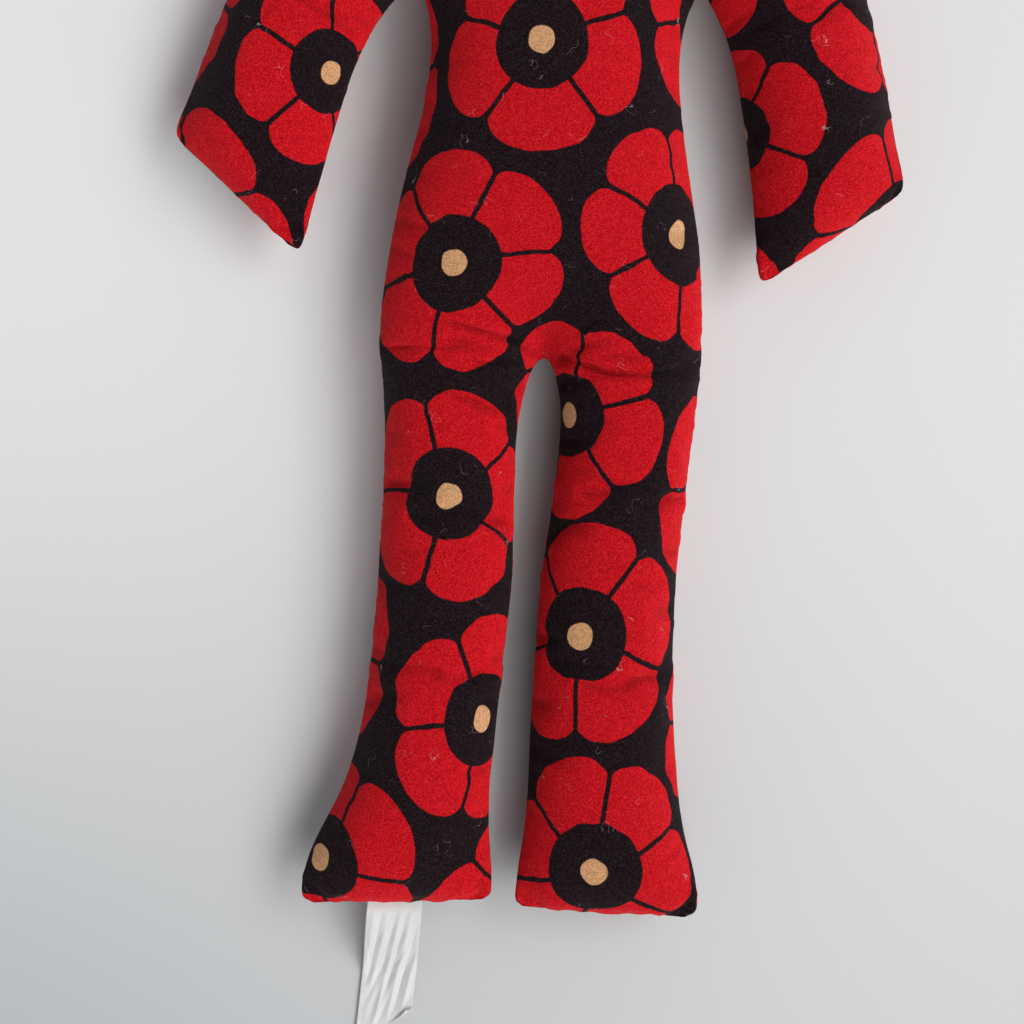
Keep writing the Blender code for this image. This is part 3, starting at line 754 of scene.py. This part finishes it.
# The print, in metres on the flat cloth, and the numbers that spread one random draw over several uses
FIVE_PETALLED = 0.55
TURN_DRAW = 37.0
SIZE_DRAW = 61.0
LOBE_SQUARENESS = 2.6
BLOSSOM_PITCH = 0.0500
BLOSSOM_RADIUS = 0.0246
RADIUS_SPREAD = 0.0016
LOBE_DIP = 0.0058
HEART_RADIUS = 0.0103
DOT_RADIUS = 0.0029
SLIT_WIDTH = 0.00055
PRINT_EDGE = 0.00013
PRINT_WAVER = 0.0009
WAVER_SCALE = 260

# The woven cloth: its threads, the flecks of its fibres with painted glints of the threads among the pale
# ones, and the lint that lies on it
THREAD_PITCH = 0.00034
FLECK_PITCH = 0.00020
FLECK_AND_GLINT_SHARE = 0.030
FLECK_SHARE = 0.62
WEAVE_SHARE = 0.20
DARKEST = 0.60
SLUB_SCALE = 2900
SLUB_LENGTH = 0.12
SLUB_SHARE = 0.7
SLUB_HEIGHT = 0.6
CLOUD_SCALE = 45
CLOUD_SHARE = 0.3
CLOTH_BUMP = 0.55
CLOTH_RELIEF = 0.00006
LINT_SCALE = 300
LINT_HALF = 0.004
LINT_EDGE = 0.003
LINT_TUFTS = 190
LINT_SPARSE = 0.72
LINT_SHARE = 0.30
RED = (0.585, 0.0038, 0.0110, 1)
DEEP_RED = (0.490, 0.0024, 0.0072, 1)
BLACK = (0.0080, 0.0030, 0.0050, 1)
CREAM = (0.60, 0.34, 0.17, 1)
PALE_FLECK_AND_GLINT = (0.60, 0.44, 0.46, 1)
LINT = (0.62, 0.52, 0.52, 1)


def lattice(t, uv):
    """The nearest point of a staggered lattice: x, y and distance from it, and a random number."""
    u, v = t.split(uv)[0:2]
    step_u, step_v = BLOSSOM_PITCH * math.sqrt(3), BLOSSOM_PITCH
    best = None
    for offset in (0.0, 0.5):
        a = t.math("ADD", t.math("DIVIDE", u, step_u), offset)
        b = t.math("ADD", t.math("DIVIDE", v, step_v), offset)
        cell_a, cell_b = t.math("ROUND", a), t.math("ROUND", b)
        x = t.math("MULTIPLY", t.math("SUBTRACT", a, cell_a), step_u)
        y = t.math("MULTIPLY", t.math("SUBTRACT", b, cell_b), step_v)
        away = t.math("SQRT", t.math("ADD", t.math("MULTIPLY", x, x), t.math("MULTIPLY", y, y)))
        random = t.nodes.new("ShaderNodeTexWhiteNoise")
        t.put(random.inputs["Vector"], t.combine(t.math("ADD", cell_a, offset * 3), cell_b, offset * 7))
        found = (x, y, away, random.outputs["Value"])
        if best is None:
            best = found
        else:
            nearer = t.math("LESS_THAN", away, best[2])
            best = tuple(t.between(nearer, old, new) for old, new in zip(best, found))
    return best


def blossoms(t, uv):
    """Red, heart and dot masks of the print: blossoms of five or six round lobes, each turned its way."""
    x, y, away, chance = lattice(t, uv)
    count = t.math("ADD", 5.0, t.math("GREATER_THAN", chance, FIVE_PETALLED))
    part = t.math("DIVIDE", math.tau, count)
    angle = t.math("ADD", t.math("ARCTAN2", y, x), t.math("MULTIPLY", chance, TURN_DRAW))
    within = t.math("SUBTRACT", t.math("FLOORED_MODULO", angle, part), t.math("MULTIPLY", part, 0.5))
    aside = t.math("ABSOLUTE", t.math("DIVIDE", within, t.math("MULTIPLY", part, 0.5)))
    smaller = t.math("FRACT", t.math("MULTIPLY", chance, SIZE_DRAW))
    size = t.math("MULTIPLY_ADD", smaller, -RADIUS_SPREAD, BLOSSOM_RADIUS)
    round_top = t.math("SUBTRACT", 1.0, t.math("POWER", aside, LOBE_SQUARENESS), clamp=True)
    lobe = t.math("SUBTRACT", 1.0, t.math("SQRT", round_top))
    reach = t.math("MULTIPLY_ADD", lobe, -LOBE_DIP, size)
    red = t.below(away, reach, PRINT_EDGE)
    from_edge = t.math("SUBTRACT", t.math("MULTIPLY", part, 0.5), t.math("ABSOLUTE", within))
    edge = t.math("MULTIPLY", away, t.math("SINE", from_edge))
    red = t.math("MULTIPLY", red, t.math("SUBTRACT", 1.0, t.below(edge, SLIT_WIDTH, PRINT_EDGE)))
    return red, t.below(away, HEART_RADIUS, PRINT_EDGE), t.below(away, DOT_RADIUS, PRINT_EDGE)


def cotton():
    t = Tree("printed_cotton")
    uv, place = t.uv(), t.place()
    waver = t.math("MULTIPLY", t.math("SUBTRACT", t.noise(uv, WAVER_SCALE, 1), 0.5), PRINT_WAVER)
    u, v = t.split(uv)[0:2]
    wavy = t.combine(t.math("ADD", u, waver), t.math("SUBTRACT", v, waver))
    red, heart, dot = blossoms(t, wavy)
    warp = t.math("SINE", t.math("MULTIPLY", u, math.tau / THREAD_PITCH))
    weft = t.math("SINE", t.math("MULTIPLY", v, math.tau / THREAD_PITCH))
    weave = t.math("MULTIPLY_ADD", t.math("MULTIPLY", warp, weft), 0.5, 0.5)
    over = t.math("GREATER_THAN", weave, 0.5)
    slub = t.between(
        over,
        t.noise(t.combine(t.math("MULTIPLY", u, SLUB_LENGTH), v), SLUB_SCALE, 2),
        t.noise(t.combine(u, t.math("MULTIPLY", v, SLUB_LENGTH)), SLUB_SCALE, 2),
    )
    fleck = t.fleck(u, v, FLECK_PITCH)
    cloud = t.math("MULTIPLY", t.noise(place, CLOUD_SCALE, 3), CLOUD_SHARE)
    reds = t.mix(t.math("MULTIPLY_ADD", slub, SLUB_SHARE, cloud), DEEP_RED, RED)
    colour = t.mix(red, BLACK, reds)
    colour = t.mix(heart, colour, BLACK)
    colour = t.mix(dot, colour, CREAM)
    # Pale flecks: partly fibres, partly painted glints where the threads catch the light
    fleck_and_glint = t.math("POWER", fleck, 3.0)
    colour = t.mix(t.math("MULTIPLY", fleck_and_glint, FLECK_AND_GLINT_SHARE), colour, PALE_FLECK_AND_GLINT)
    curl = t.math("ABSOLUTE", t.math("SUBTRACT", t.noise(uv, LINT_SCALE, 1), 0.5))
    patches = t.math("MULTIPLY", t.noise(t.combine(v, u, 0.4), LINT_TUFTS, 0), -1.0)
    tuft = t.below(patches, -LINT_SPARSE, 0.02)
    lint = t.math("MULTIPLY", t.below(curl, LINT_HALF, LINT_EDGE), tuft)
    colour = t.mix(t.math("MULTIPLY", lint, LINT_SHARE), colour, LINT)
    shade = t.nodes.new("ShaderNodeHueSaturation")
    grain = t.math("MULTIPLY_ADD", fleck, FLECK_SHARE, t.math("MULTIPLY", weave, WEAVE_SHARE))
    # Painted shade: the cloth is drawn darker in the hollows of its folds and creases
    painted_fold_shade = t.nodes.new("ShaderNodeAttribute")
    painted_fold_shade.attribute_name = "painted_fold_shade"
    sunk = t.math("MULTIPLY_ADD", painted_fold_shade.outputs["Fac"], -PAINTED_HOLLOW_SHADE, 1.0)
    t.put(shade.inputs["Value"], t.math("MULTIPLY", t.math("ADD", grain, DARKEST), sunk))
    t.put(shade.inputs["Color"], colour)
    s = t.shader.inputs
    t.put(s["Base Color"], shade.outputs[0])
    s["Roughness"].default_value = 0.88
    s["Diffuse Roughness"].default_value = 1.0
    s["Specular IOR Level"].default_value = 0.06
    s["Sheen Weight"].default_value = 0.03
    s["Sheen Roughness"].default_value = 0.5
    s["Sheen Tint"].default_value = (1.0, 0.86, 0.86, 1)
    relief = t.math("ADD", weave, t.math("MULTIPLY", slub, SLUB_HEIGHT))
    t.put(s["Normal"], t.bump(relief, CLOTH_BUMP, CLOTH_RELIEF))
    return t.material


# Satin: its ribs, the fibres and the greys that run along it
RIB_PITCH = 0.00022
FIBRE_SCALE, FIBRE_LENGTH = 5200, 0.05
GREY_SCALE, GREY_LENGTH = 520, 0.22
SATIN_GREY = (0.60, 0.61, 0.605, 1)
SATIN_WHITE = (0.72, 0.725, 0.72, 1)
SATIN_BUMP = 0.25
SATIN_RELIEF = 0.00003


def satin():
    t = Tree("label_satin")
    uv = t.uv()
    u, v = t.split(uv)[0:2]
    rib = t.math("SINE", t.math("MULTIPLY", u, math.tau / RIB_PITCH))
    fibre = t.noise(t.combine(u, t.math("MULTIPLY", v, FIBRE_LENGTH)), FIBRE_SCALE, 2)
    grey = t.noise(t.combine(u, t.math("MULTIPLY", v, GREY_LENGTH)), GREY_SCALE, 2)
    colour = t.mix(grey, SATIN_GREY, SATIN_WHITE)
    s = t.shader.inputs
    t.put(s["Base Color"], colour)
    s["Roughness"].default_value = 0.42
    s["Anisotropic"].default_value = 0.4
    s["Sheen Weight"].default_value = 0.15
    s["Subsurface Weight"].default_value = 0.12
    s["Subsurface Radius"].default_value = (0.002, 0.002, 0.002)
    t.put(s["Normal"], t.bump(t.math("ADD", rib, fibre), SATIN_BUMP, SATIN_RELIEF))
    return t.material


# The tabletop: its colours, with painted light paler at the left, where the left gives way to the right,
# and where painted shade greys it towards the feet
TABLE_LEFT = (0.80, 0.805, 0.815, 1)
TABLE_RIGHT = (0.73, 0.732, 0.74, 1)
TABLE_CLOUD = (0.60, 0.60, 0.61, 1)
TABLE_PAINTED_SHADE = (0.40, 0.425, 0.445, 1)
LEFT_EDGE, LEFT_SOFT = -0.010, 0.130
PAINTED_SHADE_EDGE, PAINTED_SHADE_SOFT = -0.115, 0.120
PAINTED_SHADE_AT_RIGHT, PAINTED_SHADE_AT_LEFT = 0.46, 0.88
CLOUDINESS = 0.04


def tabletop():
    """A pale table, painted lighter at the left and a little warmer and darker to the right, with painted
    shade greying it towards the feet.
    """
    t = Tree("tabletop")
    place = t.place()
    x, y = t.split(place)[0:2]
    cloud = t.noise(place, 6, 2)
    fine = t.noise(place, 420, 3)
    # Painted shade: the table is drawn greyer towards the feet, more at the left than at the right
    down = t.below(y, PAINTED_SHADE_EDGE, PAINTED_SHADE_SOFT)
    aside = t.below(x, LEFT_EDGE, LEFT_SOFT)
    # Painted light: the left of the table is drawn paler than the right
    pale = t.mix(aside, TABLE_RIGHT, TABLE_LEFT)
    colour = t.mix(t.math("MULTIPLY", cloud, CLOUDINESS), pale, TABLE_CLOUD)
    painted_shade = t.math("MULTIPLY", down, t.between(aside, PAINTED_SHADE_AT_RIGHT, PAINTED_SHADE_AT_LEFT))
    colour = t.mix(painted_shade, colour, TABLE_PAINTED_SHADE)
    s = t.shader.inputs
    t.put(s["Base Color"], colour)
    s["Roughness"].default_value = 0.6
    t.put(s["Normal"], t.bump(fine, 0.08, 0.0002))
    return t.material


# Care label: creases as side and share of the length at both ends, depth in metres and half width
LABEL_CREASES = [
    (-0.34, 0.00, -0.47, 0.55, 0.00050, 0.075), (-0.20, 0.02, -0.40, 0.62, -0.00042, 0.055),
    (-0.08, 0.00, -0.44, 0.98, 0.00034, 0.060), (0.06, 0.03, -0.14, 0.50, -0.00055, 0.070),
    (0.14, 0.01, -0.20, 0.94, 0.00050, 0.060), (0.24, 0.08, -0.02, 0.66, -0.00036, 0.045),
    (0.34, 0.00, 0.02, 0.95, 0.00044, 0.065), (0.46, 0.12, 0.16, 0.80, -0.00048, 0.060),
    (0.50, 0.30, 0.26, 0.92, 0.00040, 0.055), (0.30, 0.34, 0.12, 0.52, 0.00040, 0.040),
    (-0.44, 0.30, -0.36, 0.46, -0.00026, 0.030), (-0.30, 0.62, -0.46, 1.00, -0.00036, 0.060),
]


def crumple(side, share):
    """The height that the label's sharp creases add."""
    total = 0
    for side_a, share_a, side_b, share_b, depth, half in LABEL_CREASES:
        run = (share - share_a) / (share_b - share_a)
        near = abs(side - mix(side_a, side_b, run)) / half
        ends = min(1, max(0, run * 4 + 0.2)) * min(1, max(0, (1 - run) * 4 + 0.2))
        total += depth * ends * max(0, math.sqrt(1.04 + near * near) - near - 0.2 * near)
    return total


def label_fold(across, down):
    short = LABEL_LENGTH - LABEL_WIDTH * math.tan(LABEL_END_SLANT)
    start = Vector((LABEL_WIDTH / 2, short - LABEL_EAR))
    out = Vector((math.sin(LABEL_EAR_SLANT), math.cos(LABEL_EAR_SLANT)))
    beyond = (Vector((across, down)) - start).dot(out)
    if beyond <= 0:
        return across, down, 0
    bend = math.pi * LABEL_EAR_ROLL
    if beyond < bend:
        angle = beyond / LABEL_EAR_ROLL
        kept, rise = LABEL_EAR_ROLL * math.sin(angle), LABEL_EAR_ROLL * (1 - math.cos(angle))
    else:
        kept, rise = bend - beyond, 2 * LABEL_EAR_ROLL
    return across + out.x * (kept - beyond), down + out.y * (kept - beyond), rise


def label_place(across, down):
    ax, dn, rise = label_fold(across, down)
    fall = LEG_SEAM - LABEL_REST
    share = min(1, max(0, (dn - LABEL_STIFF) / LABEL_FALL))
    height = LABEL_REST + fall * (1 - share * share * (3 - 2 * share))
    outward = dn * mix(1, LABEL_FALL_REACH, share)
    loose = min(1, max(0, (dn - LABEL_STIFF) / LABEL_LOOSE))
    side = ax / LABEL_WIDTH
    pleat = crumple(side, dn / LABEL_LENGTH) + LABEL_RAISED
    fine = noise.noise(Vector((side * 9 + dn * 250, dn * 60, 2.0))) * LABEL_RIPPLE
    lean = math.tan(LABEL_LEAN) * max(0, dn)
    level = max(height + (pleat + fine) * loose, LABEL_LOWEST) + rise
    return Vector((LABEL_ASIDE + ax - lean, along(0) - outward, level))


def care_label(material):
    mesh = bmesh.new()
    layer = mesh.loops.layers.uv.new("cut")
    grid, flat = [], {}
    for r in range(LABEL_ROWS + 1):
        row = []
        for c in range(LABEL_COLUMNS + 1):
            across = (c / LABEL_COLUMNS - 0.5) * LABEL_WIDTH
            end = LABEL_LENGTH - (across + LABEL_WIDTH / 2) * math.tan(LABEL_END_SLANT)
            down = -LABEL_TUCK + (end + LABEL_TUCK) * r / LABEL_ROWS
            made = mesh.verts.new(label_place(across, down))
            flat[made] = (across, down)
            row.append(made)
        grid.append(row)
    join_rows(mesh, grid)
    for f in mesh.faces:
        for corner in f.loops:
            corner[layer].uv = flat[corner.vert]
    bmesh.ops.recalc_face_normals(mesh, faces=mesh.faces)
    data = bpy.data.meshes.new("care_label")
    mesh.to_mesh(data)
    mesh.free()
    data.shade_smooth()
    data.materials.append(material)
    made = link("label", data)
    wall = made.modifiers.new("thickness", "SOLIDIFY")
    wall.thickness, wall.offset = LABEL_THICKNESS, 0
    return made


def light(name, place, target, size, power, colour):
    lamp = bpy.data.lights.new(name, "AREA")
    lamp.spread = WINDOW_SPREAD
    lamp.shape, lamp.size, lamp.energy, lamp.color = "DISK", size, power, colour
    made = link(name, lamp)
    made.location = place
    made.rotation_mode = "QUATERNION"
    made.rotation_quaternion = (Vector(target) - Vector(place)).to_track_quat("-Z", "Y")
    return made


def room():
    """A room lit from its walls more than from overhead, and pale where the camera sees it."""
    world = bpy.data.worlds.new("room")
    world.use_nodes = True
    nodes, links = world.node_tree.nodes, world.node_tree.links
    way = nodes.new("ShaderNodeSeparateXYZ")
    rise = nodes.new("ShaderNodeMapRange")
    seen = nodes.new("ShaderNodeLightPath")
    strength = nodes.new("ShaderNodeMix")
    links.new(nodes.new("ShaderNodeTexCoord").outputs["Generated"], way.inputs[0])
    links.new(way.outputs["Z"], rise.inputs["Value"])
    rise.inputs["To Min"].default_value = ROOM_LOW
    rise.inputs["To Max"].default_value = ROOM_OVERHEAD
    links.new(seen.outputs["Is Camera Ray"], strength.inputs["Factor"])
    links.new(rise.outputs["Result"], strength.inputs["A"])
    strength.inputs["B"].default_value = ROOM_SEEN
    background = nodes["Background"]
    background.inputs["Color"].default_value = ROOM_COLOUR
    links.new(strength.outputs["Result"], background.inputs["Strength"])
    return world


def stage():
    data = bpy.data.meshes.new("table")
    corners = [(-TABLE_HALF, -TABLE_HALF, 0), (TABLE_HALF, -TABLE_HALF, 0)]
    corners += [(TABLE_HALF, TABLE_HALF, 0), (-TABLE_HALF, TABLE_HALF, 0)]
    data.from_pydata(corners, [], [(0, 1, 2, 3)])
    data.materials.append(tabletop())
    table = link("table", data)
    level, rise = WINDOW_AWAY * math.cos(WINDOW_RISE), WINDOW_AWAY * math.sin(WINDOW_RISE)
    for turn, power in WINDOWS:
        turn = math.radians(turn)
        place = Vector((level * math.cos(turn), level * math.sin(turn), rise))
        light("window", WINDOW_AIM + place, WINDOW_AIM, WINDOW_SIZE, power, WINDOW_COLOUR)
    scene = bpy.context.scene
    scene.world = room()
    scene.view_settings.view_transform = "Standard"
    camera = bpy.data.cameras.new("camera")
    camera.sensor_width = SENSOR
    camera.lens = SENSOR * CAMERA_RISE / PHOTO_WIDTH
    eye = link("camera", camera)
    eye.location = PHOTO_CENTRE + Vector((0, 0, CAMERA_RISE))
    eye.rotation_euler = (0, 0, PHOTO_TURN)
    scene.camera = eye


def main():
    cloth = cotton()
    for name, face, nodes in (
        ("front_cover", 1, ("front_panel", "stuffing")),
        ("back_cover", -1, ("back_panel",)),
    ):
        made = coarse_panel(name, face)
        bake(made, UNWRAP_LEVELS)
        unwrap(made, face)
        bake(made, SIM_LEVELS - UNWRAP_LEVELS)
        stuff(made)
        bake(made, COVER_LEVELS - SIM_LEVELS)
        shape_cover(made, face)
        made.data.shade_smooth()
        made.data.materials.append(cloth)
        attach(made, "root")
        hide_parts(*nodes)
    label = care_label(satin())
    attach(label, "root")
    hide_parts("care_label")
    stage()


main()
